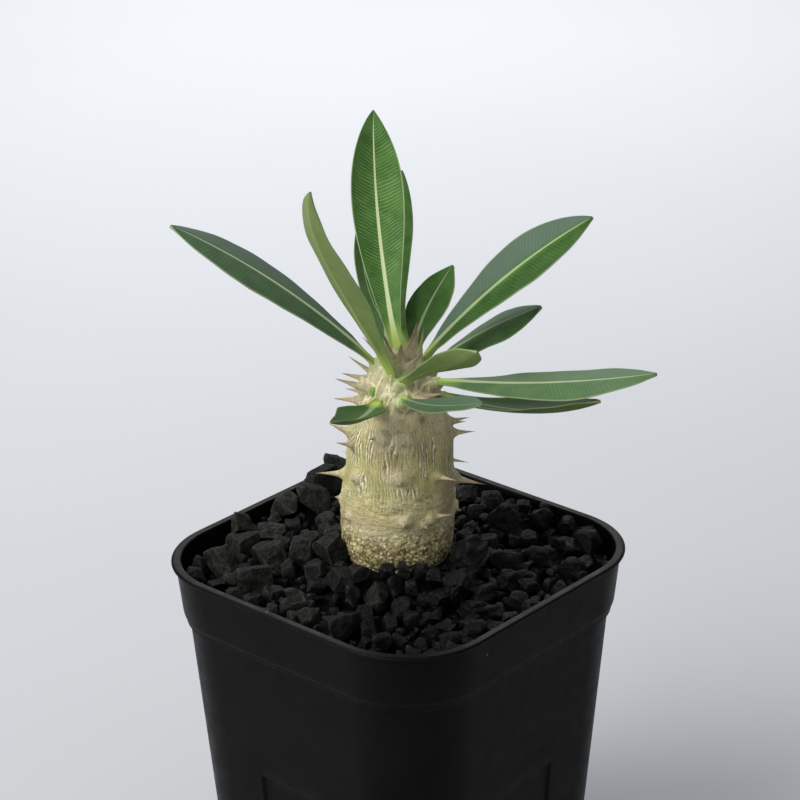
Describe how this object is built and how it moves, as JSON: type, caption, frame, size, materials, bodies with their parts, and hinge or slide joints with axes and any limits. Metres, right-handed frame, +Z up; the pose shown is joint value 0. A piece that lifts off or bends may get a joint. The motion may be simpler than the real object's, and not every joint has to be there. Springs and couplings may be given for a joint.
{
  "type": "potted pachypodium",
  "caption": "Potted pachypodium: a swollen spiny stem topped with lance-shaped leaves, in gravel in a square rounded nursery pot.",
  "frame": {"origin": "centre of the pot's underside, on the resting plane", "axes": "+Z up along the stem; the pot's flat sides face X and Y"},
  "size_m": [0.1036, 0.0908, 0.2046],
  "materials": {
    "black_plastic": "satin moulded black polypropylene",
    "potting_soil": "damp dark potting soil",
    "lava_gravel": "rough charcoal grey lava stones",
    "pale_bark": "wrinkled greenish beige bark",
    "leaf_green": "waxy satin green leaf"
  },
  "bodies": {
    "root": {"pot": "black_plastic", "potting_mix": "potting_soil", "gravel": "lava_gravel", "stem": "pale_bark", "leaf_01": "leaf_green", "leaf_02": "leaf_green", "leaf_03": "leaf_green", "leaf_04": "leaf_green", "leaf_05": "leaf_green", "leaf_06": "leaf_green", "leaf_07": "leaf_green", "leaf_08": "leaf_green", "leaf_09": "leaf_green", "leaf_10": "leaf_green", "leaf_11": "leaf_green", "leaf_12": "leaf_green", "leaf_13": "leaf_green"}
  },
  "joints": []
}
